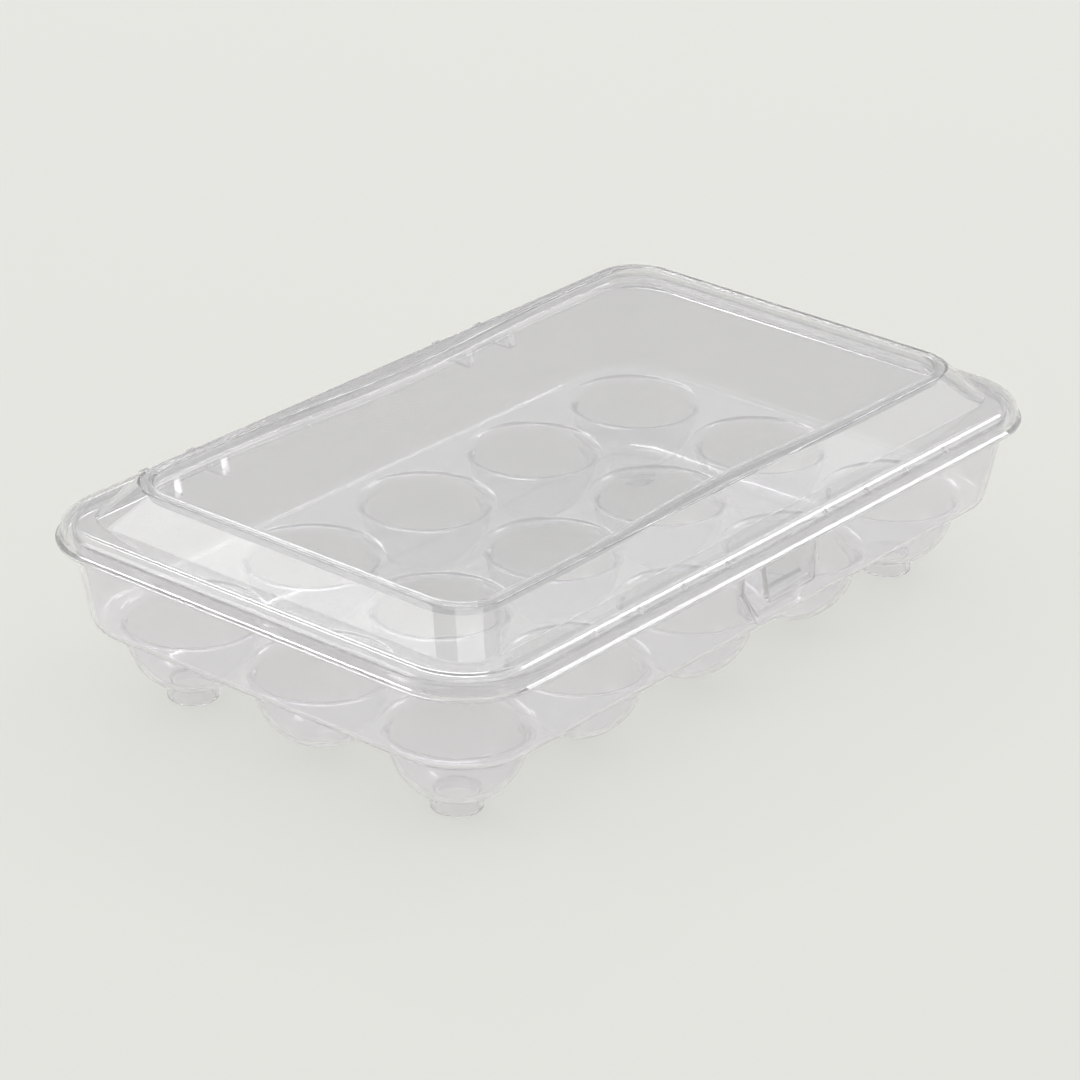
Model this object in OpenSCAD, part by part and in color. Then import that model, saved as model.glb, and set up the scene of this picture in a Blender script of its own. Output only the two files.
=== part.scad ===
// Egg keeper with a flip lid: a clear moulded tray with rows of egg cups, and a domed lid that
// turns on two snap hinges at the back and catches on a pad at the front.
// The long side lies along X, the latch faces -Y, and the four feet stand on z = 0.

/* [Cups] */
// Cups along the long side
columns = 5; // [3:1:7]
// Cups along the short side
rows = 3; // [2:1:4]
// Distance between cup centres along the long side
pitch_x = 48; // [46:0.5:56]
// Distance between cup centres along the short side
pitch_y = 46.8; // [45:0.5:56]
// Outside radius of a cup's round bowl
bowl_r = 18.5; // [15:0.25:19]
// Inside rounding of a cup's mouth, where the bowl turns out into the deck
mouth_round = 3.4; // [2.5:0.1:4]

/* [Feet] */
// Outside radius of a foot ring
foot_r = 7.1; // [5:0.1:9]
// Wall of a foot ring
foot_wall = 1.4; // [1:0.1:2.5]
// Height of the bowls' undersides above the table
foot_lift = 2.5; // [1:0.1:6]

/* [Tray] */
// Wall thickness of the tray
wall = 1.4; // [1:0.1:2]
// Flat deck left between the outer cups' mouths and the wall's bottom rounding
deck_margin = 1.5; // [1:0.25:6]
// Corner radius of the deck
deck_corner = 17.5; // [10:0.5:24]
// Outside rounding between the deck and the side wall
base_round = 3.5; // [2.5:0.25:6]
// Outward lean of the side wall, in degrees
draft = 8.5; // [3:0.5:14]
// Height of the side wall, from the deck's underside to the rim band
wall_h = 18.1; // [14:0.5:30]
// How far the rim band steps out from the top of the side wall
band_step = 1.8; // [1.5:0.1:3]
// Height of the rim band
band_h = 9.8; // [8:0.2:14]

/* [Lid] */
// Gap between the tray's rim band and the lid's skirt
skirt_gap = 0.4; // [0.3:0.05:1]
// Wall thickness of the lid
lid_wall = 1.4; // [1:0.1:2]
// Outside corner radius of the lid at its lip
lid_corner = 23.5; // [20:0.5:30]
// Height of the lid's skirt, from the lip's bottom edge to the top of the ledge
skirt_h = 9.5; // [8:0.25:14]
// How far the skirt's lip stands out
lip_out = 1.1; // [0.6:0.1:2]
// Height of the lip
lip_h = 1.8; // [1.2:0.1:3]
// Rounding of the skirt's top edge
skirt_round = 2; // [1:0.25:3]
// Width of the flat ledge and lip round the dome
ledge_w = 7.3; // [5:0.25:12]
// Height of the dome above the ledge
dome_h = 7; // [5:0.25:20]
// How far the dome's sloping sides run in
dome_run = 11.4; // [6:0.25:16]
// Corner radius of the dome's top edge
dome_corner = 13; // [9:0.5:20]
// Width of the raised border round the sunk top panel
border_w = 3.5; // [2.5:0.25:6]
// Depth of the sunk top panel
panel_depth = 2.8; // [1.5:0.1:4]
// How far the border swells in at the middle of the long sides
border_swell = 3; // [1:0.25:5]
// Half length of that swelling
swell_half = 70; // [40:1:90]
// Space between the tray's rim and the stops inside the lid
stop_gap = 0.3; // [0.2:0.05:0.6]
// Height of the stops under the ledge
stop_h = 4.2; // [3:0.1:6]
// Distance of the first stop from a corner's centre
stop_start = 27.5; // [20:0.5:40]
// Distance from one stop to the next
stop_pitch = 18.5; // [12:0.5:40]

/* [Latch] */
// Distance of the latch from the middle of the front
latch_x = 2.2; // [-20:0.1:20]
// Width of the tab where it leaves the lid
tab_w = 23.5; // [16:0.5:40]
// Length of the tab below the lip
tab_h = 10.6; // [8:0.2:12]
// How much each side of the tab tapers in
tab_taper = 1.5; // [0:0.1:3]
// How far the tab's end leans out
tab_lean = 1.1; // [0.3:0.1:2]
// How much wider than the tab the pad behind it is at the top
pad_extra = 10.5; // [4:0.5:20]
// How much each side of the pad tapers in
pad_taper = 7.2; // [3:0.2:9]
// Height of the pad below the rim band
pad_h = 12.3; // [11:0.2:16]

/* [Hinge] */
// Distance of each hinge from the middle of the back
hinge_x = 62; // [30:1:85]
// Width of the clip on the lid
clip_w = 15.4; // [8:0.2:24]
// Gap between a clip and the ear beside it
clip_side_gap = 0.3; // [0.2:0.05:0.6]
// Radius of a hinge pin
pin_r = 1.6; // [1.3:0.1:2]
// Running clearance between a pin and its clip
pin_gap = 0.05; // [0.02:0.01:0.1]
// Wall of a clip round its pin
clip_wall = 1.3; // [1:0.1:1.6]
// Thickness of an ear
ear_t = 3; // [2:0.25:5]

/* [Hidden] */
ROW_NAMES = ["front", "second", "third", "fourth"];
function cup_name(row, col) = str("cup_", ROW_NAMES[row], "_", col + 1);
CUP_NODES = [for (row = [0 : rows - 1], col = [0 : columns - 1]) cup_name(row, col)];

clear_tint = [0.84, 0.85, 0.88, 0.45];
lid_tint = [0.88, 0.89, 0.91, 0.4];
pin_tint = [0.7, 0.72, 0.76, 0.7];
round_fn = 96;
corner_fn = 96;
swell_fn = 256;
arc_steps = 8;
lip_steps = 4;
skin = 0.01;      // thickness of the slices that a sloping shell is hulled from

// Cups: a hemisphere under a mouth that rounds out into the deck
cup_x = pitch_x * (columns - 1) / 2;
cup_y = pitch_y * (rows - 1) / 2;
bowl_z = foot_lift + bowl_r;                 // centre of the bowls
mouth_r = bowl_r + mouth_round - wall;       // where the mouth meets the flat deck
deck_z = bowl_z + mouth_round - wall;        // deck underside
deck_top = deck_z + wall;

// Tray outline: every section is a rectangle whose corners turn about the same four centres
tray_cx = cup_x + mouth_r + deck_margin - deck_corner;
tray_cy = cup_y + mouth_r + deck_margin - deck_corner;
lean = tan(draft);
band_z = deck_z + wall_h;
rim_z = band_z + band_h;
round_z = deck_z + base_round;
wall_foot_r = deck_corner + base_round * cos(draft);
wall_foot_z = round_z - base_round * sin(draft);
wall_top_r = wall_foot_r + (band_z - wall_foot_z) * lean;
band_r = wall_top_r + band_step;
wall_across = wall / cos(draft);             // the leaning wall measured level
rim_edge = 0.4;                              // rounding of the rim's top edge

// Lid outline
skirt_in = tray_cx + band_r + skirt_gap;     // half length inside the skirt
lid_x = skirt_in + lid_wall + lip_out;
lid_y = tray_cy + band_r + skirt_gap + lid_wall + lip_out;
lid_cx = lid_x - lid_corner;
lid_cy = lid_y - lid_corner;
skirt_r = lid_corner - lip_out;
skirt_in_r = skirt_r - lid_wall;
ledge_under = rim_z + stop_gap + stop_h;
ledge_z = ledge_under + lid_wall;
lip_z = ledge_z - skirt_h;
turn_flat = 0.5;                             // flat left past the skirt's turn
turn_r = skirt_r - max(skirt_round, lid_wall) - turn_flat;
lip_round = min(0.7, lip_h / 2 - 0.1, lip_out - 0.1);
dome_r = lid_corner - ledge_w;
slope = atan2(dome_h, dome_run);
shell_across = lid_wall / sin(slope);        // the sloping shell measured level
dome_in_r = dome_r - shell_across;
top_z = ledge_z + dome_h;
top_x = lid_cx + dome_r - dome_run;
top_y = lid_cy + dome_r - dome_run;
edge_round = 1;                              // blunted top edge of the dome
edge_flat = 0.6;                             // share of it that lies on the top
under_z = top_z - lid_wall;                  // inside of the border's top
under_run = (under_z - ledge_z) / tan(slope);
panel_x = top_x - border_w;
panel_y = top_y - border_w;
panel_blunt = 1.5;                           // how much rounder the panel's corners are
panel_r = dome_corner - border_w + panel_blunt;
panel_z = top_z - panel_depth;
panel_under = panel_z - lid_wall;
swell_r = (pow(swell_half, 2) + pow(border_swell, 2)) / (2 * border_swell);

// Stops inside the lid, which lie just over the rim and keep clear of the latch
stop_w = 1.2;
stop_reach = 2;
stop_last = (tab_w + pad_extra) / 2 + abs(latch_x) + stop_w;
stop_spots = [for (x = lid_cx - stop_start; x > stop_last; x = x - stop_pitch) x];

// Latch
front_y = -(tray_cy + band_r);               // outer face of the rim band
lid_front = -lid_y;
tab_t = 1.6;
tab_z = lip_z - tab_h;
pad_z = band_z - pad_h;
pad_half = (tab_w + pad_extra) / 2;
pad_lean = atan2(pad_h, pad_taper);          // slope of the pad's sides
catch_w = 14;
catch_h = 1.4;
catch_rise = 2.4;                            // from the tab's end up to the catch
catch_z = tab_z + catch_rise;                // underside of the pad's catch
catch_out = 0.8;
catch_gap = 0.2;

// Hinge: the pin runs in a clip, outside the lid's lip
clip_r = pin_r + pin_gap + clip_wall;
ear_over = 0.05;                             // how much the ears stand over the clip's ring
ear_r = clip_r + ear_over;
pin_out = 0.65;                              // gap between the lip and the clip's ring
pin_y = lid_y + pin_out + clip_r;
pin_z = band_z + ear_r;
ear_gap = clip_w + 2 * clip_side_gap;
open_angle = 105;
lip_in = lid_y - pin_y;                      // the lip's outer edge, seen from the pin
lip_low = lip_z - pin_z;
lip_high = lip_low + lip_h;
// Where the lip's outer face lies once the lid has turned to its stop
stop_y = lip_in * cos(open_angle) + lip_high * sin(open_angle);
stop_z = lip_high * cos(open_angle) - lip_in * sin(open_angle);
nose_gap = 0.12;
nose_y = pin_y + stop_y;
nose_z = pin_z + stop_z - nose_gap;

// The origin lies under the middle of the whole keeper, hinge and tab included
mid_y = (nose_y - lid_y - tab_lean) / 2;

function arc(cx, cy, r, from, to, steps = arc_steps) =
    [for (i = [0 : steps]) let (a = from + (to - from) * i / steps) [cx + r * cos(a), cy + r * sin(a)]];

// Stands the model with its origin under its middle
module placed() {
    translate([0, -mid_y, 0])
        children();
}

// Repeats its child in the four quarters
module quarters() {
    for (sx = [0, 1], sy = [0, 1])
        mirror([sx, 0, 0])
            mirror([0, sy, 0])
                children();
}

// Carries a profile round a rectangle with round corners. The profile's x is the distance out from
// the corner centres, at (cx, cy), and its y is the height.
module round_frame(cx, cy) {
    quarters()
        translate([cx, cy, 0])
            rotate_extrude(angle = 90, $fn = corner_fn)
                children();
    for (side = [0, 1]) {
        mirror([0, side, 0])
            translate([0, cy, 0])
                rotate([90, 0, 90])
                    linear_extrude(2 * cx, center = true)
                        children();
        mirror([side, 0, 0])
            translate([cx, 0, 0])
                rotate([90, 0, 0])
                    linear_extrude(2 * cy, center = true)
                        children();
    }
}

// A plate with round corners, its half sizes given to the edge
module round_plate(hx, hy, r, h) {
    linear_extrude(h) {
        square([2 * hx, 2 * (hy - r)], center = true);
        square([2 * (hx - r), 2 * hy], center = true);
        for (sx = [-1, 1], sy = [-1, 1])
            translate([sx * (hx - r), sy * (hy - r)])
                circle(r, $fn = corner_fn);
    }
}

// A profile in the Y-Z plane, carried along X
module along_x(length) {
    rotate([90, 0, 90])
        linear_extrude(length, center = true)
            children();
}

// A profile in the X-Z plane, carried along Y from y0 to y1
module along_y(y0, y1) {
    translate([0, y1, 0])
        rotate([90, 0, 0])
            linear_extrude(y1 - y0)
                children();
}

// ---------------------------------------------------------------- tray

// Section of the rim band, with the step at its foot
module rim_profile() {
    polygon(concat(
        [[wall_top_r - wall_across, band_z], [band_r, band_z]],
        arc(band_r - rim_edge, rim_z - rim_edge, rim_edge, 0, 90, lip_steps),
        arc(band_r - wall + rim_edge, rim_z - rim_edge, rim_edge, 90, 180, lip_steps),
        [[band_r - wall, band_z + wall],
         [wall_top_r + wall * lean - wall_across, band_z + wall]]));
}

module tray_rim() {
    color(clear_tint)
        placed()
            round_frame(tray_cx, tray_cy)
                rim_profile();
}

// Section of the leaning side wall, with its turn into the deck
module wall_profile() {
    polygon(concat(
        [[deck_corner, deck_top], [deck_corner, deck_z]],
        arc(deck_corner, round_z, base_round, -90, -draft),
        [[wall_top_r, band_z], [wall_top_r - wall_across, band_z]],
        arc(deck_corner, round_z, base_round - wall, -draft, -90)));
}

// Outline of the latch pad, seen from the front; inset makes the pocket behind it
module pad_outline(inset) {
    shoulder = 1;                            // upright stretch at the top of the sides
    half = pad_half - inset / sin(pad_lean);
    translate([latch_x, 0])
        polygon([
            [-half, band_z],
            [-half, band_z - shoulder],
            [pad_taper - half, pad_z + inset],
            [half - pad_taper, pad_z + inset],
            [half, band_z - shoulder],
            [half, band_z]]);
}

// Distance out to the middle of the wall's thickness at height z
function wall_mid(z) = tray_cy + wall_top_r - (band_z - z) * lean - wall_across / 2;

// The pad stands out of the leaning wall, flush with the rim band
module latch_pad() {
    intersection() {
        along_y(front_y, front_y + 3 * base_round + wall_h * lean)
            pad_outline(0);
        along_x(4 * pad_half + 2 * abs(latch_x))
            polygon([[front_y, pad_z], [front_y, band_z], [-wall_mid(band_z), band_z],
                     [-wall_mid(pad_z), pad_z]]);
    }
    translate([latch_x, 0, 0])
        along_x(catch_w)
            polygon([[front_y + wall / 2, catch_z], [front_y - catch_out, catch_z],
                     [front_y - catch_out, catch_z + catch_h / 2], [front_y, catch_z + catch_h],
                     [front_y + wall / 2, catch_z + catch_h]]);
}

// Pocket that keeps the pad as thin as the wall
module pad_pocket() {
    along_y(front_y + wall, front_y + band_step + 2 * wall_across + wall_h * lean)
        pad_outline(wall);
}

// One ear: round over the pin, with a nose behind that the open lid leans on
module ear_outline() {
    root_y = tray_cy + band_r;
    translate([pin_y, pin_z])
        circle(ear_r, $fn = round_fn);
    translate([root_y, pin_z - ear_r])
        square([nose_y - root_y, nose_z - pin_z + ear_r]);
}

module hinge_ears(side) {
    color(clear_tint)
        placed()
            for (end = [-1, 1])
                translate([side * hinge_x + end * (ear_gap + ear_t) / 2, 0, 0])
                    along_x(ear_t)
                        ear_outline();
}

module tray_wall() {
    color(clear_tint)
        placed()
            difference() {
                union() {
                    round_frame(tray_cx, tray_cy)
                        wall_profile();
                    latch_pad();
                }
                pad_pocket();
            }
}

// Flat floor of the tray, with a round hole for each cup
module cup_deck() {
    color(clear_tint)
        placed()
            translate([0, 0, deck_z])
                linear_extrude(wall)
                    difference() {
                        deck_outline();
                        for (row = [0 : rows - 1], col = [0 : columns - 1])
                            translate([cup_at_x(col), cup_at_y(row)])
                                circle(mouth_r, $fn = round_fn);
                    }
}

module deck_outline() {
    hx = tray_cx + deck_corner;
    hy = tray_cy + deck_corner;
    square([2 * hx, 2 * tray_cy], center = true);
    square([2 * tray_cx, 2 * hy], center = true);
    for (sx = [-1, 1], sy = [-1, 1])
        translate([sx * tray_cx, sy * tray_cy])
            circle(deck_corner, $fn = corner_fn);
}

function cup_at_x(col) = (col - (columns - 1) / 2) * pitch_x;
function cup_at_y(row) = (row - (rows - 1) / 2) * pitch_y;

// One egg cup: half a sphere, then a mouth that rounds out to the deck
module egg_cup(row, col) {
    color(clear_tint)
        placed()
            translate([cup_at_x(col), cup_at_y(row), 0])
                rotate_extrude($fn = round_fn) {
                    intersection() {
                        ring_section(0, bowl_r);
                        translate([0, bowl_z - bowl_r - 1])
                            square([bowl_r + 1, bowl_r + 1]);
                    }
                    intersection() {
                        ring_section(mouth_r, mouth_round);
                        translate([mouth_r - mouth_round - 1, bowl_z])
                            square([mouth_round + 1, mouth_round + 1]);
                    }
                }
}

// A ring of the tray's wall thickness about a point at the bowls' centre height
module ring_section(x, r) {
    translate([x, bowl_z])
        difference() {
            circle(r, $fn = round_fn);
            circle(r - wall, $fn = round_fn);
        }
}

// Rings under the four corner cups
module foot_rings() {
    color(clear_tint)
        placed()
            for (sx = [-1, 1], sy = [-1, 1])
                translate([sx * cup_x, sy * cup_y, 0])
                    difference() {
                        cylinder(h = bowl_z, r = foot_r, $fn = round_fn);
                        translate([0, 0, -1])
                            cylinder(h = bowl_z + 2, r = foot_r - foot_wall, $fn = round_fn);
                        translate([0, 0, bowl_z])
                            sphere(bowl_r, $fn = round_fn);
                    }
}

// Pin moulded between the two ears of a hinge
module hinge_pin(side) {
    color(pin_tint)
        placed()
            translate([side * hinge_x, pin_y, pin_z])
                rotate([0, 90, 0])
                    cylinder(h = ear_gap, r = pin_r, center = true, $fn = round_fn);
}

// ---------------------------------------------------------------- lid

// Section of the lid's skirt and lip, with the turn into the ledge
module skirt_profile() {
    polygon(concat(
        [[turn_r, ledge_under], [skirt_in_r, ledge_under], [skirt_in_r, lip_z]],
        arc(lid_corner - lip_round, lip_z + lip_round, lip_round, -90, 0, lip_steps),
        arc(lid_corner - lip_round, lip_z + lip_h - lip_round, lip_round, 0, 90, lip_steps),
        [[skirt_r, lip_z + lip_h]],
        arc(skirt_r - skirt_round, ledge_z - skirt_round, skirt_round, 0, 90),
        [[turn_r, ledge_z]]));
}

module lid_skirt() {
    color(lid_tint)
        placed()
            round_frame(lid_cx, lid_cy)
                skirt_profile();
}

// Flat ring that carries the dome
module lid_ledge() {
    color(lid_tint)
        placed()
            round_frame(lid_cx, lid_cy)
                translate([dome_in_r, ledge_under])
                    square([turn_r - dome_in_r, lid_wall]);
}

// One level slice of the dome
module dome_slice(hx, hy, r, z) {
    translate([0, 0, z])
        round_plate(hx, hy, r, skin);
}

// The dome as a solid with round corners, drawn in by a margin, with a blunted top edge
module dome_body(margin, run, low, high, edge) {
    base = dome_r - margin;
    back = edge / tan(slope);
    hull() {
        dome_slice(lid_cx + base, lid_cy + base, base, low);
        dome_slice(lid_cx + base - run + back, lid_cy + base - run + back,
                   dome_corner - margin + back, high - edge);
        dome_slice(lid_cx + base - run - edge * edge_flat, lid_cy + base - run - edge * edge_flat,
                   dome_corner - margin, high - skin);
    }
}

// Outline of the sunk panel, whose border swells in at the middle of the long sides
module panel_outline(out) {
    difference() {
        union() {
            square([2 * (panel_x + out), 2 * (panel_y - panel_r)], center = true);
            square([2 * (panel_x - panel_r), 2 * (panel_y + out)], center = true);
            for (sx = [-1, 1], sy = [-1, 1])
                translate([sx * (panel_x - panel_r), sy * (panel_y - panel_r)])
                    circle(panel_r + out, $fn = corner_fn);
        }
        for (sy = [-1, 1])
            translate([0, sy * (panel_y - border_swell + swell_r)])
                circle(swell_r - out, $fn = swell_fn);
    }
}

// Sloping sides and raised border, open in the middle for the sunk panel
module lid_dome() {
    color(lid_tint)
        placed()
            difference() {
                dome_body(0, dome_run, ledge_z, top_z, edge_round);
                dome_body(shell_across, under_run, ledge_z - skin, under_z, edge_round / 2);
                translate([0, 0, under_z - 1])
                    linear_extrude(lid_wall + 2)
                        panel_outline(0);
            }
}

// Sunk panel, with the upright wall that joins it to the border
module lid_panel() {
    color(lid_tint)
        placed() {
            translate([0, 0, panel_under])
                linear_extrude(lid_wall)
                    panel_outline(lid_wall);
            translate([0, 0, panel_z])
                linear_extrude(under_z - panel_z)
                    difference() {
                        panel_outline(lid_wall);
                        panel_outline(0);
                    }
        }
}

// Short ribs under the ledge of the long sides, which lie just over the tray's rim
module lid_stops() {
    color(lid_tint)
        placed()
            for (side = [0, 1], end = [-1, 1], spot = stop_spots)
                mirror([0, side, 0])
                    translate([end * spot - stop_w / 2, -lid_cy - skirt_in_r, rim_z + stop_gap])
                        cube([stop_w, stop_reach, stop_h]);
}

// Thumb tab under the lip, with a ridge that hooks under the pad's catch
module latch_tab() {
    half = tab_w / 2;
    foot = half - tab_taper;
    corner = 1;                              // bevel of the end's two corners
    chamfer = 0.5;                           // bevel of the end's outer edge
    ridge_y = front_y - catch_out - catch_gap;
    ridge_low = tab_z + 2 * chamfer;
    ridge_high = catch_z - chamfer;
    inner = lid_front + tab_t;
    end_y = lid_front - tab_lean;
    color(lid_tint)
        placed()
            intersection() {
                along_y(lid_front - 2 * tab_lean, front_y)
                    translate([latch_x, 0])
                        polygon([[-half, lip_z], [-foot, tab_z + corner], [corner - foot, tab_z],
                                 [foot - corner, tab_z], [foot, tab_z + corner], [half, lip_z]]);
                along_x(3 * tab_w + 2 * abs(latch_x))
                    polygon([[lid_front + lip_round, lip_z], [lid_front, lip_z - lip_round],
                             [end_y, tab_z + chamfer], [end_y + chamfer, tab_z],
                             [end_y + tab_t, tab_z], [ridge_y, ridge_low], [ridge_y, ridge_high],
                             [end_y + tab_t + chamfer, ridge_high + chamfer / 2],
                             [inner, lip_z - corner], [inner, lip_z]]);
            }
}

// Clip that snaps over a hinge pin from above, on an arm that runs down from the skirt over the lip
module clip_outline() {
    mouth = 38;                              // half angle of the gap that the pin snaps through
    arm_from = 40;                           // where the arm leaves the ring
    lip_from = 160;                          // where the ring leaves the lip
    arm_h = 2.6;
    lip_top = lip_z + lip_h;
    difference() {
        polygon(concat(
            [[pin_y, pin_z]],
            arc(pin_y, pin_z, clip_r, mouth - 90, arm_from, 2 * arc_steps),
            [[lid_cy + skirt_r, lip_top + arm_h], [lid_cy + skirt_r, lip_top]],
            arc(lid_y - lip_round, lip_top - lip_round, lip_round, 90, 0, lip_steps),
            [[lid_y, lip_z + lip_round]],
            arc(pin_y, pin_z, clip_r, lip_from, 270 - mouth, arc_steps)));
        translate([pin_y, pin_z])
            circle(pin_r + pin_gap, $fn = round_fn);
    }
}

module hinge_clip(side) {
    color(lid_tint)
        placed()
            translate([side * hinge_x, 0, 0])
                along_x(clip_w)
                    clip_outline();
}

tray_rim();
tray_wall();
cup_deck();
foot_rings();
hinge_ears(-1);  // hinge_ears_left
hinge_ears(1);  // hinge_ears_right
hinge_pin(-1);  // hinge_pin_left
hinge_pin(1);  // hinge_pin_right
lid_skirt();
lid_ledge();
lid_dome();
lid_panel();
lid_stops();
latch_tab();
hinge_clip(-1);  // hinge_clip_left
hinge_clip(1);  // hinge_clip_right
for (row = [0 : rows - 1], col = [0 : columns - 1])
    egg_cup(row, col);
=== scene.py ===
"""Egg keeper with a flip lid, dressed for the render: two clear mouldings, a tray and a lid.

Sizes are in metres, in the frame of the CAD model. Places come from the boxes of its nodes.
"""
from math import acos, atan2, cos, degrees, hypot, pi, radians, sin, tan
import bmesh
import bpy
from mathutils import Matrix, Vector
from mathutils.geometry import delaunay_2d_cdt


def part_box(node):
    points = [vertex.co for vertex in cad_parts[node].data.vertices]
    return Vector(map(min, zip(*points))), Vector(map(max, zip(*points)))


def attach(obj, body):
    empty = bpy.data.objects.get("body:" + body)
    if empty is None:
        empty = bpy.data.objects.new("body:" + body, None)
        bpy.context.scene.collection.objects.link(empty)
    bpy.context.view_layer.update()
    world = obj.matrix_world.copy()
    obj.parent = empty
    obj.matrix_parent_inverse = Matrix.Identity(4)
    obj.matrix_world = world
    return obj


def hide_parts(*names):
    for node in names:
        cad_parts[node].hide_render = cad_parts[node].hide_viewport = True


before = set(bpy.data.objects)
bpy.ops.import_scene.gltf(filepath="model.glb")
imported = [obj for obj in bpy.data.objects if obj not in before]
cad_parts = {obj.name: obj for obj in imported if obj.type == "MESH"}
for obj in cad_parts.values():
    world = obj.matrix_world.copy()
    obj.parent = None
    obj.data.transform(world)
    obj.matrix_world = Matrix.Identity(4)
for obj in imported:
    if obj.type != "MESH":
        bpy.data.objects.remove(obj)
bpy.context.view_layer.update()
SCENE = bpy.context.scene

# Light crosses many clear walls, so its paths are long
SCENE.cycles.max_bounces = 32
SCENE.cycles.transmission_bounces = 32
SCENE.cycles.glossy_bounces = 16
SCENE.cycles.transparent_max_bounces = 48

MM = 0.001
ROWS, COLUMNS = 3, 5
ROW_NAMES = ["front", "second", "third"]

# Tray, where a box of the frame can't give the size
WALL = 1.4 * MM
DRAFT = radians(10.62)                       # outward lean of the side wall
DECK_CORNER = 17.5 * MM
BASE_ROUND = 3.5 * MM                        # outside rounding between the deck and the wall
SEAM_RISE = 0.3 * MM                         # from the lip's low edge up to the foot of the tray's rim
SEAM_ROUND = 1.5 * MM                        # outside rounding where the wall turns up into the rim
RIM_EDGE = 0.5 * MM
MOUTH_ROUND = 3.4 * MM
FOOT_WALL = 1.4 * MM
FOOT_EDGE = 0.35 * MM

# Lid, as the photograph shows it
LID_WALL = 1.4 * MM
LID_CORNER = 23.5 * MM
LIP_OUT = 1.1 * MM
LIP_H = 1.8 * MM
LIP_FALL = 0.38 * MM                         # how far the lip's top face falls outwards
LIP_EDGE = 0.4 * MM                          # rounding at the outer end of that face
LIP_EDGE_FROM = 55                           # where that rounding starts, in degrees
LIP_ROUND = 0.75 * MM                        # rounding of the lip's low edge
LEDGE_DROP = 2.8 * MM                        # how much lower the photograph's ledge lies than the solids
LEDGE_W = 10.8 * MM                          # from the lip's edge in to the foot of the dome
LEDGE_BLEND = 0.3 * MM                       # rounding between the ledge and the dome's slope
SKIRT_ROUND = 4.0 * MM
DOME_RUN = 7.9 * MM
DOME_CORNER = 13.0 * MM
DOME_EDGE = 0.9 * MM                         # rounding between the slope and the border
BEAD = 1.0 * MM                              # round bead along the border's inner edge
BEAD_END = 62                                # where the border leaves the bead, in degrees
BORDER_SWELL = 3.0 * MM
SWELL_HALF = 70.0 * MM
PANEL_CORNER = 11.0 * MM
PANEL_EDGE = 0.5 * MM                        # rounding at the foot of the panel's upright wall

# Latch
TAB_LEAN = 1.1 * MM
TAB_TAPER = 1.5 * MM
TAB_WALL = 1.6 * MM
TAB_ROUND = 1.2 * MM
TAB_EDGE = 0.35 * MM
RIDGE_GAP = 0.2 * MM                         # from the ridge's tip to the tray's wall
PAD_EXTRA = 5.25 * MM
PAD_TAPER = 7.2 * MM
PAD_H = 12.3 * MM
PAD_ROUND = 2.2 * MM
PAD_EDGE = 0.4 * MM
CATCH_W = 14.0 * MM
CATCH_H = 1.4 * MM
CATCH_RISE = 2.4 * MM
CATCH_EDGE = 0.2 * MM

# Ears, clips and stops
SEAT = 0.02 * MM                             # how deep a face sinks into the one that carries it
EAR_T = 3.0 * MM
EAR_ROOT_H = 4.9 * MM
EAR_ROOT_TOP, EAR_ROOT_LOW = 0.8 * MM, 1.9 * MM
STOP_GAP = 0.3 * MM
STOP_W = 1.2 * MM
STOP_PLACES = [21.92 * MM, 40.42 * MM, 58.92 * MM, 77.42 * MM]
STOP_IN, STOP_TOP_IN, STOP_OUT = 2.2 * MM, 2.6 * MM, 4.5 * MM
STOP_TOP_Z, STOP_OUT_Z = 2.6 * MM, 3.0 * MM  # above the foot of the skirt's turn
# Section of a clip's root: inwards from the skirt's face, and up from the foot of its turn
CLIP_ROOT = [(1.7 * MM, -0.7 * MM), (1.05 * MM, -0.8 * MM), (1.05 * MM, 1.65 * MM), (1.7 * MM, 1.9 * MM),
             (2.4 * MM, 1.9 * MM)]

# Fineness and shading of the meshes
CORNER_STEPS = 20
SIDE_STEPS = 24
ROUND_STEPS = 72
BOWL_STEPS = 22
EDGE_STEPS = 5
WELD = 1e-6
CREASE = radians(32)                         # edges sharper than this stay crisp
FLAT_WEIGHT = 80                             # how far large faces outweigh small ones


# ---------------------------------------------------------------- outlines

def arc(cx, cy, r, start, end, steps):
    """Points of an arc, with its angles in degrees."""
    angles = [radians(start + (end - start) * i / steps) for i in range(steps + 1)]
    return [(cx + r * cos(a), cy + r * sin(a)) for a in angles]


def ring(cx, cy, r, swell=0.0, half=0.0):
    """A level rectangle with round corners about (+-cx, +-cy). The long sides swell in at the middle."""
    def dip(x):
        return swell * (0.5 + 0.5 * cos(pi * x / half)) if swell and abs(x) < half else 0.0

    points = []
    for i, (sx, sy) in enumerate([(1, 1), (-1, 1), (-1, -1), (1, -1)]):
        points += [(sx * cx + x, sy * cy + y) for x, y in arc(0, 0, r, 90 * i, 90 * i + 90, CORNER_STEPS)]
        if i % 2 == 0:
            for k in range(1, SIDE_STEPS):
                x = sx * cx * (1 - 2 * k / SIDE_STEPS)
                points.append((x, sy * (cy + r - dip(x))))
    return points


def fillet(before, corner, after, r, steps=4):
    """Points of the arc of radius r that takes a corner's place."""
    before, corner, after = Vector(before), Vector(corner), Vector(after)
    inward, onward = (before - corner).normalized(), (after - corner).normalized()
    half = inward.angle(onward) / 2
    centre = corner + (inward + onward).normalized() * r / sin(half)
    first = corner + inward * r / tan(half) - centre
    last = corner + onward * r / tan(half) - centre
    start = atan2(first.y, first.x)
    turn = (atan2(last.y, last.x) - start + pi) % (2 * pi) - pi
    angles = [start + turn * i / steps for i in range(steps + 1)]
    return [(centre.x + r * cos(a), centre.y + r * sin(a)) for a in angles]


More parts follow.
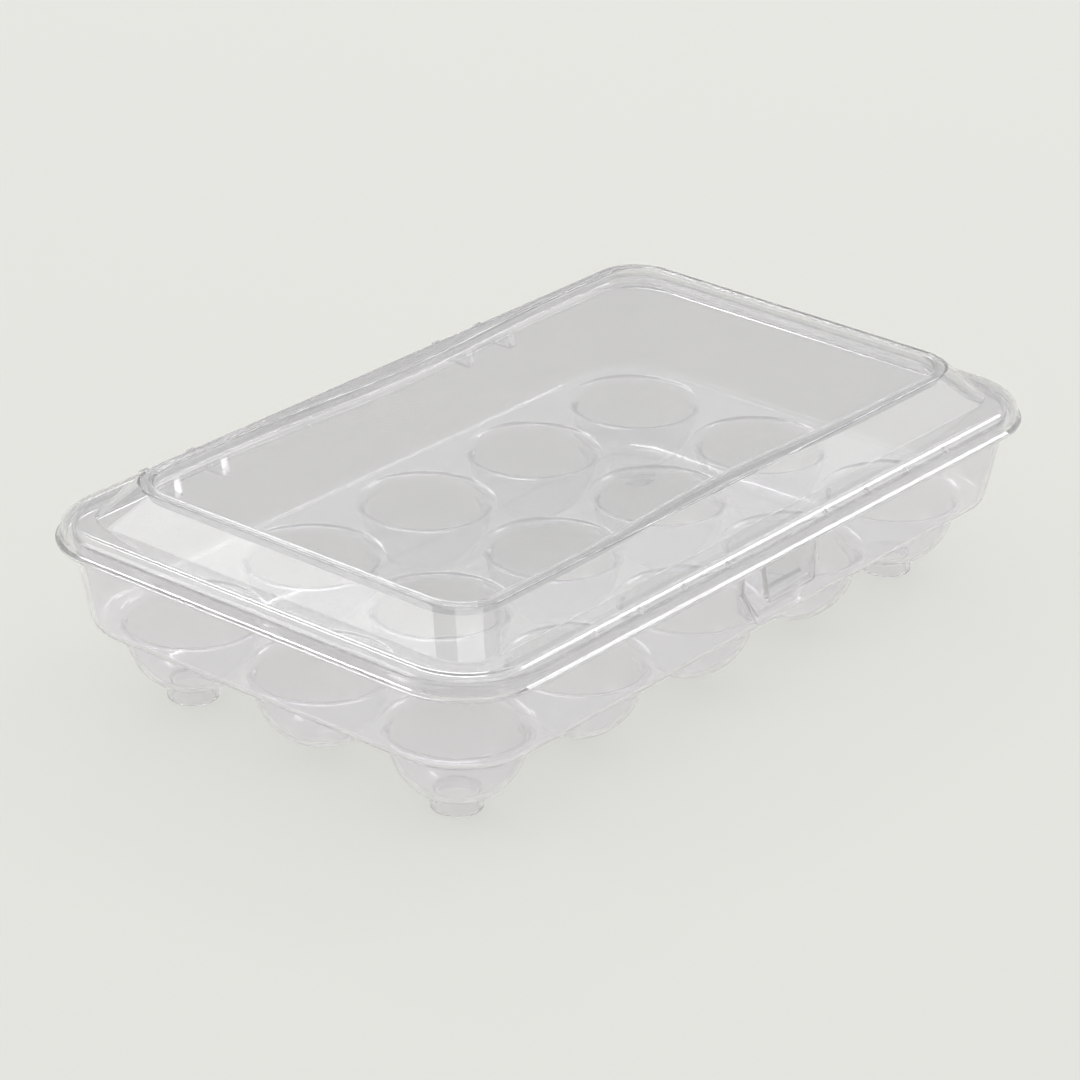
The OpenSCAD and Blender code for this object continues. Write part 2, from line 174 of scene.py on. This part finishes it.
def circle(x, y, r, steps=ROUND_STEPS):
    return [(x + r * cos(2 * pi * i / steps), y + r * sin(2 * pi * i / steps)) for i in range(steps)]


class Skin:
    """A mesh in the making: rings of vertices, joined by strips of quads."""

    def __init__(self, name, centre=(0.0, 0.0)):
        self.name = name
        self.centre = centre
        self.bm = bmesh.new()

    def loop(self, points, z):
        cx, cy = self.centre
        return [self.bm.verts.new((x + cx, y + cy, z)) for x, y in points]

    def strip(self, lower, upper):
        n = len(lower)
        for i in range(n):
            j = (i + 1) % n
            self.bm.faces.new((lower[i], lower[j], upper[j], upper[i]))

    def loft(self, loops):
        for a, b in zip(loops, loops[1:]):
            self.strip(a, b)

    def cap(self, loop, up):
        self.bm.faces.new(loop if up else loop[::-1])

    def fan(self, loop, point, up):
        x, y, z = point
        tip = self.bm.verts.new((x + self.centre[0], y + self.centre[1], z))
        n = len(loop)
        for i in range(n):
            j = (i + 1) % n
            self.bm.faces.new((loop[i], loop[j], tip) if up else (loop[j], loop[i], tip))

    def sheet(self, outer, holes, inside, up):
        """A level sheet between an outer loop and the loops of its holes."""
        loops = [outer] + holes
        verts = [v for loop in loops for v in loop]
        flat = [Vector((v.co.x, v.co.y)) for v in verts]
        edges, start = [], 0
        for loop in loops:
            n = len(loop)
            edges += [(start + i, start + (i + 1) % n) for i in range(n)]
            start += n
        _, _, faces, origins, _, _ = delaunay_2d_cdt(flat, edges, [], 0, 1e-7)
        for face in faces:
            corners = [origins[i][0] for i in face]
            middle = sum((flat[i] for i in corners), Vector((0, 0))) / len(corners)
            if inside(middle):
                self.bm.faces.new([verts[i] for i in (corners if up else corners[::-1])])

    def object(self):
        bmesh.ops.recalc_face_normals(self.bm, faces=self.bm.faces)
        mesh = bpy.data.meshes.new(self.name)
        self.bm.to_mesh(mesh)
        self.bm.free()
        piece = bpy.data.objects.new(self.name, mesh)
        SCENE.collection.objects.link(piece)
        return piece


def block(name, outline, lift, depth):
    """A closed solid: an outline, placed by lift(u, v, w), drawn from w = depth[0] to depth[1]."""
    bm = bmesh.new()
    ends = [[bm.verts.new(lift(u, v, w)) for u, v in outline] for w in depth]
    bm.faces.new(ends[0])
    bm.faces.new(ends[1])
    n = len(outline)
    for i in range(n):
        j = (i + 1) % n
        bm.faces.new((ends[0][i], ends[0][j], ends[1][j], ends[1][i]))
    bmesh.ops.recalc_face_normals(bm, faces=bm.faces)
    mesh = bpy.data.meshes.new(name)
    bm.to_mesh(mesh)
    bm.free()
    piece = bpy.data.objects.new(name, mesh)
    SCENE.collection.objects.link(piece)
    return piece


def settle(piece):
    """Turns a piece's modifiers into mesh."""
    graph = bpy.context.evaluated_depsgraph_get()
    mesh = bpy.data.meshes.new_from_object(piece.evaluated_get(graph))
    piece.modifiers.clear()
    piece.data = mesh


def combine(piece, other, operation):
    """Joins or cuts piece with another solid, which is then removed."""
    modifier = piece.modifiers.new("combine", "BOOLEAN")
    modifier.operation = operation
    modifier.solver = "MANIFOLD"
    modifier.object = other
    settle(piece)
    bpy.data.objects.remove(other)


def blunt(piece, width):
    """Rounds every edge of a small solid, as a mould does."""
    bevel = piece.modifiers.new("blunt", "BEVEL")
    bevel.width = width
    bevel.segments = 3
    bevel.limit_method = "ANGLE"
    bevel.angle_limit = radians(25)
    settle(piece)


def solid_of(node):
    """A new piece with the shape of a CAD node, to be joined to the moulding that it belongs to."""
    bm = bmesh.new()
    bm.from_mesh(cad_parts[node].data)
    bmesh.ops.remove_doubles(bm, verts=bm.verts, dist=WELD)
    bmesh.ops.dissolve_limit(bm, angle_limit=radians(1), verts=bm.verts, edges=bm.edges)
    mesh = bpy.data.meshes.new(node + "_shape")
    bm.to_mesh(mesh)
    bm.free()
    piece = bpy.data.objects.new(node + "_shape", mesh)
    SCENE.collection.objects.link(piece)
    return piece


def finish_surface(piece, material):
    """Smooth shading that keeps flat faces flat and true edges crisp."""
    mesh = piece.data
    mesh.materials.clear()
    mesh.materials.append(material)
    bm = bmesh.new()
    bm.from_mesh(mesh)
    bmesh.ops.remove_doubles(bm, verts=bm.verts, dist=WELD)
    for face in bm.faces:
        face.smooth = True
        face.material_index = 0
    for edge in bm.edges:
        edge.smooth = len(edge.link_faces) == 2 and edge.calc_face_angle(0.0) < CREASE
    bm.to_mesh(mesh)
    bm.free()
    weigh = piece.modifiers.new("weigh_normals", "WEIGHTED_NORMAL")
    weigh.keep_sharp = True
    weigh.weight = FLAT_WEIGHT


# ---------------------------------------------------------------- places, from the frame

def span(node):
    low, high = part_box(node)
    return Vector(low), Vector(high)


RIM_LOW, RIM_HIGH = span("tray_rim")
WALL_LOW, _ = span("tray_wall")
DECK_LOW, DECK_HIGH = span("cup_deck")
SKIRT_LOW, SKIRT_HIGH = span("lid_skirt")
_, DOME_HIGH = span("lid_dome")
PANEL_LOW, PANEL_HIGH = span("lid_panel")
TAB_LOW, TAB_HIGH = span("latch_tab")
LATCH_X = (TAB_LOW.x + TAB_HIGH.x) / 2
PAD_HALF = (TAB_HIGH.x - TAB_LOW.x) / 2 + PAD_EXTRA
_, FEET_HIGH = span("foot_rings")
CENTRE = (0.0, (RIM_LOW.y + RIM_HIGH.y) / 2)
SEAM_Z = SKIRT_LOW.z + SEAM_RISE             # where the leaning wall turns up into the rim, under the lip


def cup_place(row, column):
    """(x, y) of a cup's centre, its mouth's radius and its lowest point."""
    low, high = span(f"cup_{ROW_NAMES[row]}_{column + 1}")
    return (low.x + high.x) / 2, (low.y + high.y) / 2 - CENTRE[1], (high.x - low.x) / 2, low.z


CUPS = [cup_place(row, column) for row in range(ROWS) for column in range(COLUMNS)]
MOUTH_R = CUPS[0][2]
BOWL_R = MOUTH_R - (MOUTH_ROUND - WALL)
BOWL_Z = CUPS[0][3] + BOWL_R
FOOT_R = FEET_HIGH.x - max(cup[0] for cup in CUPS)
END_CUPS = (max(cup[0] for cup in CUPS), max(cup[1] for cup in CUPS))


# ---------------------------------------------------------------- tray

def bowl_profile(foot):
    """Radius and height down the underside of a cup, from the deck to its pole."""
    points = arc(MOUTH_R, BOWL_Z, MOUTH_ROUND - WALL, 90, 180, 6)
    if not foot:
        return points + arc(0, BOWL_Z, BOWL_R, 0, -90, BOWL_STEPS)[1:-1]
    outer_turn = -degrees(acos(FOOT_R / BOWL_R))
    inner = FOOT_R - FOOT_WALL
    inner_turn = -degrees(acos(inner / BOWL_R))
    points += arc(0, BOWL_Z, BOWL_R, 0, outer_turn, BOWL_STEPS)[1:]
    points += arc(FOOT_R - FOOT_EDGE, FOOT_EDGE, FOOT_EDGE, 0, -90, 3)
    points += arc(inner + FOOT_EDGE, FOOT_EDGE, FOOT_EDGE, -90, -180, 3)
    return points + arc(0, BOWL_Z, BOWL_R, inner_turn, -90, 8)[:-1]


def add_cup(skin, x, y, foot):
    """Adds both sides of a cup and returns the loops that the deck's two faces meet."""
    inside = arc(MOUTH_R, BOWL_Z, MOUTH_ROUND, 90, 180, 8)
    inside += arc(0, BOWL_Z, BOWL_R - WALL, 0, -90, BOWL_STEPS)[1:-1]
    inner = [skin.loop(circle(x, y, r), z) for r, z in inside]
    outer = [skin.loop(circle(x, y, r), z) for r, z in bowl_profile(foot)]
    skin.loft(inner)
    skin.loft(outer)
    skin.fan(inner[-1], (x, y, BOWL_Z - BOWL_R + WALL), True)
    skin.fan(outer[-1], (x, y, BOWL_Z - BOWL_R), False)
    return inner[0], outer[0]


def tray_profile():
    """Radius out from the corner centres and height: up the outside, over the rim, down the inside."""
    cx, cy = tray_corner()
    rim_r, rim_z, turn_z = RIM_HIGH.x - cx, RIM_HIGH.z, DECK_LOW.z + BASE_ROUND
    draft = degrees(DRAFT)
    points = arc(DECK_CORNER, turn_z, BASE_ROUND, -90, -draft, 8)
    points += arc(rim_r - SEAM_ROUND, SEAM_Z, SEAM_ROUND, -draft, 0, 3)
    points += arc(rim_r - RIM_EDGE, rim_z - RIM_EDGE, RIM_EDGE, 0, 90, 4)
    points += arc(rim_r - WALL + RIM_EDGE, rim_z - RIM_EDGE, RIM_EDGE, 90, 180, 4)
    points += arc(rim_r - SEAM_ROUND, SEAM_Z, SEAM_ROUND - WALL, 0, -draft, 3)
    return points + arc(DECK_CORNER, turn_z, BASE_ROUND - WALL, -draft, -90, 8)


def tray_corner():
    """Centres of the tray's round corners."""
    return DECK_HIGH.x - DECK_CORNER, (DECK_HIGH.y - DECK_LOW.y) / 2 - DECK_CORNER


def make_tray():
    skin = Skin("tray_moulding", CENTRE)
    cx, cy = tray_corner()
    loops = [skin.loop(ring(cx, cy, r), z) for r, z in tray_profile()]
    skin.loft(loops)
    mouths = [add_cup(skin, x, y, abs(abs(x) - END_CUPS[0]) < MM and abs(abs(y) - END_CUPS[1]) < MM)
              for x, y, _, _ in CUPS]

    def on_deck(point):
        x, y = point.x, point.y - CENTRE[1]
        if any(hypot(x - cup[0], y - cup[1]) < MOUTH_R * 0.999 for cup in CUPS):
            return False
        dx, dy = max(abs(x) - cx, 0), max(abs(y) - cy, 0)
        return hypot(dx, dy) < DECK_CORNER

    skin.sheet(loops[-1], [m[0] for m in mouths], on_deck, True)
    skin.sheet(loops[0], [m[1] for m in mouths], on_deck, False)
    return skin.object()


def pad_outline(inset, top):
    """Front view of the latch pad: its sides taper in to a bottom with round corners."""
    slant = atan2(PAD_H, PAD_TAPER)
    half = PAD_HALF - inset / sin(slant)
    foot = half - PAD_TAPER
    shoulder_z = RIM_LOW.z - MM
    low_z = RIM_LOW.z - PAD_H + inset
    left = fillet((-half, shoulder_z), (-foot, low_z), (foot, low_z), PAD_ROUND)
    right = fillet((-foot, low_z), (foot, low_z), (half, shoulder_z), PAD_ROUND)
    return [(-half, top), (-half, shoulder_z)] + left + right + [(half, shoulder_z), (half, top)]


def add_latch_pad(tray):
    """A hollow pad that stands out of the wall, flush with the rim, with a catch across it."""
    front = RIM_LOW.y + SEAT

    def stand(u, v, w):
        wall_y = front + max(SEAM_Z - v, 0) * tan(DRAFT) + WALL / cos(DRAFT) / 2
        return (LATCH_X + u, front + w * (wall_y - front), v)

    pad = block("pad_shape", pad_outline(0, SEAM_Z), stand, (0, 1))
    blunt(pad, PAD_EDGE)
    combine(tray, pad, "UNION")
    pocket = block("pocket_shape", pad_outline(WALL, SEAM_Z - MM), lambda u, v, w: (LATCH_X + u, w, v),
                   (front + WALL, front + PAD_H))
    combine(tray, pocket, "DIFFERENCE")
    catch_z = TAB_LOW.z + CATCH_RISE
    section = [(front + WALL / 2, catch_z), (WALL_LOW.y, catch_z), (WALL_LOW.y, catch_z + CATCH_H / 2),
               (front, catch_z + CATCH_H), (front + WALL / 2, catch_z + CATCH_H)]
    catch = block("catch_shape", section, lambda u, v, w: (LATCH_X + w, u, v), (-CATCH_W / 2, CATCH_W / 2))
    blunt(catch, CATCH_EDGE)
    combine(tray, catch, "UNION")


def add_ear_roots(tray):
    """Carries the hinges' ears from the rim's face in to the leaning wall."""
    edge = RIM_HIGH.y
    low_z = RIM_LOW.z + SEAT
    section = [(edge + SEAT * 2, low_z), (edge + SEAT * 2, low_z + EAR_ROOT_H),
               (edge - EAR_ROOT_TOP, low_z + EAR_ROOT_H), (edge - EAR_ROOT_LOW, low_z)]
    for node in ("hinge_ears_left", "hinge_ears_right"):
        low, high = span(node)
        for start in (low.x, high.x - EAR_T):
            root = block("root_shape", section, lambda u, v, w: (w, u, v),
                         (start + SEAT, start + EAR_T - SEAT))
            combine(tray, root, "UNION")


# ---------------------------------------------------------------- lid

def lid_rings():
    """Every level outline of the lid, from the middle of the sunk panel out and back underneath."""
    lid_x = SKIRT_HIGH.x
    lid_y = (SKIRT_HIGH.y - SKIRT_LOW.y) / 2
    cx, cy = lid_x - LID_CORNER, lid_y - LID_CORNER
    lip_z, ledge_z, top_z = SKIRT_LOW.z, SKIRT_HIGH.z - LEDGE_DROP, DOME_HIGH.z
    dome_r = LID_CORNER - LEDGE_W
    slope = atan2(top_z - ledge_z, DOME_RUN)
    panel_x = PANEL_HIGH.x - LID_WALL
    panel_y = (PANEL_HIGH.y - PANEL_LOW.y) / 2 - LID_WALL
    panel_z = PANEL_LOW.z + LID_WALL
    rings = []

    def panel(out, z):
        r = PANEL_CORNER + out
        rings.append((ring(panel_x - PANEL_CORNER, panel_y - PANEL_CORNER, r, BORDER_SWELL, SWELL_HALF), z))

    def skirt(r, z):
        rings.append((ring(cx, cy, r), z))

    # Upper side: panel, its upright wall, the border and the slope
    for out, z in arc(-PANEL_EDGE, panel_z + PANEL_EDGE, PANEL_EDGE, -90, 0, 3):
        panel(out, z)
    for out, z in arc(BEAD, top_z - BEAD, BEAD, 180, BEAD_END, 8):
        panel(out, z)
    border_z = z
    for i in range(EDGE_STEPS + 1):
        a = slope * i / EDGE_STEPS
        shift = DOME_EDGE * (sin(a) - tan(slope / 2)) + (top_z - border_z) / tan(slope)
        x = cx + dome_r - DOME_RUN + shift
        y = cy + dome_r - DOME_RUN + shift
        r = DOME_CORNER + shift
        rings.append((ring(x - r, y - r, r), border_z - DOME_EDGE * (1 - cos(a))))
    reach = LEDGE_BLEND * tan(slope / 2)
    for i in range(EDGE_STEPS + 1):
        a = slope * (1 - i / EDGE_STEPS)
        out = dome_r + reach - LEDGE_BLEND * sin(a)
        rings.append((ring(cx, cy, out), ledge_z + LEDGE_BLEND * (1 - cos(a))))
    skirt_r = LID_CORNER - LIP_OUT
    for r, z in arc(skirt_r - SKIRT_ROUND, ledge_z - SKIRT_ROUND, SKIRT_ROUND, 90, 0, 14):
        skirt(r, z)
    skirt(skirt_r, lip_z + LIP_H)
    edge_z = lip_z + LIP_H - LIP_FALL - LIP_EDGE
    for r, z in arc(LID_CORNER - LIP_EDGE, edge_z, LIP_EDGE, LIP_EDGE_FROM, 0, 4):
        skirt(r, z)
    for r, z in arc(LID_CORNER - LIP_ROUND, lip_z + LIP_ROUND, LIP_ROUND, 0, -90, 4):
        skirt(r, z)
    # Under side: skirt, ledge, slope, border and panel
    inner = skirt_r - LID_WALL
    corner = SKIRT_ROUND - LID_WALL
    skirt(inner, lip_z)
    for r, z in arc(inner - corner, ledge_z - LID_WALL - corner, corner, 0, 90, 12):
        skirt(r, z)
    run = LID_WALL * tan(slope / 2)
    skirt(dome_r - run, ledge_z - LID_WALL)
    r = DOME_CORNER - run
    x = cx + dome_r - DOME_RUN - run
    y = cy + dome_r - DOME_RUN - run
    rings.append((ring(x - r, y - r, r), top_z - LID_WALL))
    panel(LID_WALL, top_z - LID_WALL)
    for out, z in arc(LID_WALL - PANEL_EDGE, panel_z - LID_WALL + PANEL_EDGE, PANEL_EDGE, 0, -90, 3):
        panel(out, z)
    return rings


def make_lid():
    skin = Skin("lid_moulding", CENTRE)
    loops = [skin.loop(points, z) for points, z in lid_rings()]
    skin.loft(loops)
    skin.cap(loops[0], True)
    skin.cap(loops[-1], False)
    return skin.object()


def add_latch_tab(lid):
    """The thumb tab that leans out below the lip, with the ridge that hooks under the catch."""
    half = (TAB_HIGH.x - TAB_LOW.x) / 2
    foot = half - TAB_TAPER
    lip_z, low_z = SKIRT_LOW.z, TAB_LOW.z
    root_z = lip_z + LIP_H / 2
    left = fillet((-half, lip_z), (-foot, low_z), (foot, low_z), TAB_ROUND)
    right = fillet((-foot, low_z), (foot, low_z), (half, lip_z), TAB_ROUND)
    outline = [(-half, root_z), (-half, lip_z)] + left + right + [(half, lip_z), (half, root_z)]

    def lean(u, v, w):
        out = TAB_LEAN * max(lip_z - v, 0) / (lip_z - low_z)
        return (LATCH_X + u, SKIRT_LOW.y + SEAT - out + w, v)

    tab = block("tab_shape", outline, lean, (0, TAB_WALL))
    blunt(tab, TAB_EDGE)
    ridge_y = SKIRT_LOW.y + TAB_WALL / 2 - TAB_LEAN * 0.8
    tip_y = WALL_LOW.y - RIDGE_GAP
    section = [(ridge_y, low_z + MM / 2), (tip_y, low_z + MM), (tip_y, low_z + CATCH_RISE - MM / 2),
               (ridge_y, low_z + CATCH_RISE)]
    ridge = block("ridge_shape", section, lambda u, v, w: (LATCH_X + w, u, v), (MM - foot, foot - MM))
    combine(tab, ridge, "UNION")
    combine(lid, tab, "UNION")


def add_lid_stops(lid):
    """Short ribs inside the turn of the skirt, which lie just over the tray's rim."""
    turn_z = SKIRT_HIGH.z - LEDGE_DROP - SKIRT_ROUND
    low_z = RIM_HIGH.z + STOP_GAP
    edge = (SKIRT_HIGH.y - SKIRT_LOW.y) / 2
    section = [(STOP_IN, low_z), (STOP_OUT, low_z), (STOP_OUT, turn_z + STOP_OUT_Z),
               (STOP_TOP_IN, turn_z + STOP_TOP_Z)]
    for side in (-1, 1):
        def seat(u, v, w):
            return (w, CENTRE[1] + side * (edge - u), v)

        for end in (-1, 1):
            for place in STOP_PLACES:
                middle = end * place
                stop = block("stop_shape", section, seat, (middle - STOP_W / 2, middle + STOP_W / 2))
                combine(lid, stop, "UNION")


def add_clip_roots(lid):
    """Fills the corner between each hinge clip's arm and the turn of the skirt."""
    turn_z = SKIRT_HIGH.z - LEDGE_DROP - SKIRT_ROUND
    edge = SKIRT_HIGH.y
    section = [(edge - inward, turn_z + up) for inward, up in CLIP_ROOT]
    for node in LID_HINGES:
        low, high = span(node)
        root = block("root_shape", section, lambda u, v, w: (w, u, v), (low.x + SEAT, high.x - SEAT))
        combine(lid, root, "UNION")


# ---------------------------------------------------------------- materials

SHADE = 0.97                                 # what one face of the plastic lets through to a shadow
FLOW_SCALE = 38.0                            # size of the mould's flow marks
FLOW_DEPTH = 0.4 * MM


def clear_plastic(name, tint, clearness, roughness, flow):
    """Clear moulded plastic, with the faint unevenness that a mould's flow leaves in its faces."""
    material = bpy.data.materials.new(name)
    material.use_nodes = True
    nodes, links = material.node_tree.nodes, material.node_tree.links
    nodes.clear()
    glass = nodes.new("ShaderNodeBsdfPrincipled")
    glass.inputs["Base Color"].default_value = (*tint, 1)
    glass.inputs["Transmission Weight"].default_value = clearness
    glass.inputs["IOR"].default_value = 1.5
    place = nodes.new("ShaderNodeTexCoord")
    noise = nodes.new("ShaderNodeTexNoise")
    noise.inputs["Scale"].default_value = FLOW_SCALE
    noise.inputs["Detail"].default_value = 2.0
    links.new(place.outputs["Object"], noise.inputs["Vector"])
    rough = nodes.new("ShaderNodeMapRange")
    rough.inputs["To Min"].default_value = roughness * 0.5
    rough.inputs["To Max"].default_value = roughness * 1.5
    links.new(noise.outputs["Fac"], rough.inputs["Value"])
    links.new(rough.outputs["Result"], glass.inputs["Roughness"])
    bump = nodes.new("ShaderNodeBump")
    bump.inputs["Strength"].default_value = flow
    bump.inputs["Distance"].default_value = FLOW_DEPTH
    links.new(noise.outputs["Fac"], bump.inputs["Height"])
    links.new(bump.outputs["Normal"], glass.inputs["Normal"])
    # Shadows and the floor's own light pass straight through, a little dimmer for each face
    shade = nodes.new("ShaderNodeBsdfTransparent")
    shade.inputs["Color"].default_value = (SHADE, SHADE, SHADE, 1)
    path = nodes.new("ShaderNodeLightPath")
    mix = nodes.new("ShaderNodeMixShader")
    lit = nodes.new("ShaderNodeMath")
    lit.operation = "MAXIMUM"
    links.new(path.outputs["Is Shadow Ray"], lit.inputs[0])
    links.new(path.outputs["Is Diffuse Ray"], lit.inputs[1])
    links.new(lit.outputs["Value"], mix.inputs["Fac"])
    links.new(glass.outputs["BSDF"], mix.inputs[1])
    links.new(shade.outputs["BSDF"], mix.inputs[2])
    out = nodes.new("ShaderNodeOutputMaterial")
    links.new(mix.outputs["Shader"], out.inputs["Surface"])
    return material


# ---------------------------------------------------------------- stage, light and camera

FLOOR_COLOUR = (0.765, 0.765, 0.73, 1)
FLOOR_HALF = 6.0
ROOM_LIGHT = 1.19
# Heights in the room, from the floor's level at 0 to overhead at 1, and how bright each is
ROOM_LEVELS = [(0.0, 0.47), (0.18, 0.47), (0.28, 0.1), (0.5, 0.1), (0.72, 0.85), (1.0, 1.0)]


def make_stage():
    material = bpy.data.materials.new("pale_floor")
    material.use_nodes = True
    surface = material.node_tree.nodes["Principled BSDF"]
    surface.inputs["Base Color"].default_value = FLOOR_COLOUR
    surface.inputs["Roughness"].default_value = 0.9
    surface.inputs["Specular IOR Level"].default_value = 0.0
    mesh = bpy.data.meshes.new("floor")
    corners = [(x * FLOOR_HALF, y * FLOOR_HALF, 0) for x, y in ((-1, -1), (1, -1), (1, 1), (-1, 1))]
    mesh.from_pydata(corners, [], [(0, 1, 2, 3)])
    floor = bpy.data.objects.new("floor", mesh)
    SCENE.collection.objects.link(floor)
    mesh.materials.append(material)

    world = bpy.data.worlds.new("studio")
    SCENE.world = world
    world.use_nodes = True
    nodes, links = world.node_tree.nodes, world.node_tree.links
    nodes.clear()
    out = nodes.new("ShaderNodeOutputWorld")
    # A white sweep along the floor, dark walls above it and a bright ceiling
    place = nodes.new("ShaderNodeTexCoord")
    height = nodes.new("ShaderNodeSeparateXYZ")
    links.new(place.outputs["Generated"], height.inputs["Vector"])
    ramp = nodes.new("ShaderNodeValToRGB")
    ramp.color_ramp.elements.remove(ramp.color_ramp.elements[1])
    for i, (z, level) in enumerate(ROOM_LEVELS):
        stop = ramp.color_ramp.elements[0] if i == 0 else ramp.color_ramp.elements.new(z)
        stop.position = z
        stop.color = (level, level, level, 1)
    links.new(height.outputs["Z"], ramp.inputs["Fac"])
    room = nodes.new("ShaderNodeBackground")
    room.inputs["Strength"].default_value = ROOM_LIGHT
    links.new(ramp.outputs["Color"], room.inputs["Color"])
    backdrop = nodes.new("ShaderNodeBackground")
    backdrop.inputs["Color"].default_value = FLOOR_COLOUR
    path = nodes.new("ShaderNodeLightPath")
    seen = nodes.new("ShaderNodeMath")
    seen.operation = "MAXIMUM"
    links.new(path.outputs["Is Camera Ray"], seen.inputs[0])
    links.new(path.outputs["Is Transmission Ray"], seen.inputs[1])
    mix = nodes.new("ShaderNodeMixShader")
    links.new(seen.outputs["Value"], mix.inputs["Fac"])
    links.new(room.outputs["Background"], mix.inputs[1])
    links.new(backdrop.outputs["Background"], mix.inputs[2])
    links.new(mix.outputs["Shader"], out.inputs["Surface"])


def softbox(name, direction, along, distance, size, power):
    """An area light that looks at the keeper from a direction, its long side turned along a vector."""
    light = bpy.data.lights.new(name, "AREA")
    light.shape = "RECTANGLE"
    light.size, light.size_y = size
    light.energy = power
    lamp = bpy.data.objects.new(name, light)
    SCENE.collection.objects.link(lamp)
    aim = Vector(direction).normalized()
    lamp.location = Vector((0, CENTRE[1], 0.04)) + aim * distance
    level = Vector(along)
    level = (level - aim * level.dot(aim)).normalized()
    turn = Matrix((level, aim.cross(level), aim)).transposed()
    lamp.rotation_euler = turn.to_euler()


def make_lights():
    softbox("left_softbox", (-0.565, 0.60, 0.565), (1, 1, 0), 7.0, (2.6, 2.6), 49.0)
    softbox("top_softbox", (-0.08, -0.32, 0.94), (0.58, -0.46, -0.1), 8.0, (5.6, 1.6), 45.0)
    softbox("edge_softbox", (0.56, 0.58, 0.59), (0.17, -0.17, -0.03), 6.4, (1.5, 1.0), 42.0)
    softbox("side_softbox", (0.72, -0.06, 0.69), (0.082, 0.028, -0.085), 6.4, (1.7, 1.2), 58.0)
    softbox("right_softbox", (0.74, -0.52, 0.43), (0.52, 0.74, 0), 7.0, (2.6, 1.6), 10.0)


def make_camera():
    """The camera that took the photograph, from its outlines: azimuth, elevation, roll and place."""
    a, e, tilt = radians(-51.269), radians(25.133), radians(1.401)
    right = Vector((cos(a), sin(a), 0))
    back = Vector((sin(a) * cos(e), -cos(a) * cos(e), sin(e)))
    up = back.cross(right)
    across = right * cos(tilt) + up * sin(tilt)
    upward = up * cos(tilt) - right * sin(tilt)
    camera = bpy.data.objects.new("camera", bpy.data.cameras.new("camera"))
    SCENE.collection.objects.link(camera)
    camera.data.sensor_width = 36.0
    camera.data.lens = 146.8
    place = Vector((-0.8662, -0.68995 + CENTRE[1], 0.5469))
    turn = Matrix((across, upward, back)).transposed()
    camera.matrix_world = Matrix.Translation(place) @ turn.to_4x4()
    SCENE.camera = camera


# ---------------------------------------------------------------- assembly

TRAY_HINGES = ["hinge_ears_left", "hinge_ears_right", "hinge_pin_left", "hinge_pin_right"]
LID_HINGES = ["hinge_clip_left", "hinge_clip_right"]

tray_plastic = clear_plastic("clear_tray_plastic", (0.945, 0.938, 0.955), 0.85, 0.03, 0.1)
lid_plastic = clear_plastic("clear_lid_plastic", (0.90, 0.90, 0.905), 0.90, 0.015, 0.04)

make_camera()
make_stage()
make_lights()

tray = make_tray()
add_latch_pad(tray)
for node in TRAY_HINGES:
    combine(tray, solid_of(node), "UNION")
add_ear_roots(tray)
finish_surface(tray, tray_plastic)
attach(tray, "tray")
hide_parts("tray_rim", "tray_wall", "cup_deck", "foot_rings", *TRAY_HINGES,
            *[f"cup_{name}_{i + 1}" for name in ROW_NAMES for i in range(COLUMNS)])

lid = make_lid()
add_latch_tab(lid)
add_lid_stops(lid)
for node in LID_HINGES:
    combine(lid, solid_of(node), "UNION")
add_clip_roots(lid)
finish_surface(lid, lid_plastic)
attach(lid, "lid")
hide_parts("lid_skirt", "lid_ledge", "lid_dome", "lid_panel", "lid_stops", "latch_tab", *LID_HINGES)

SCENE.view_settings.view_transform = "Standard"
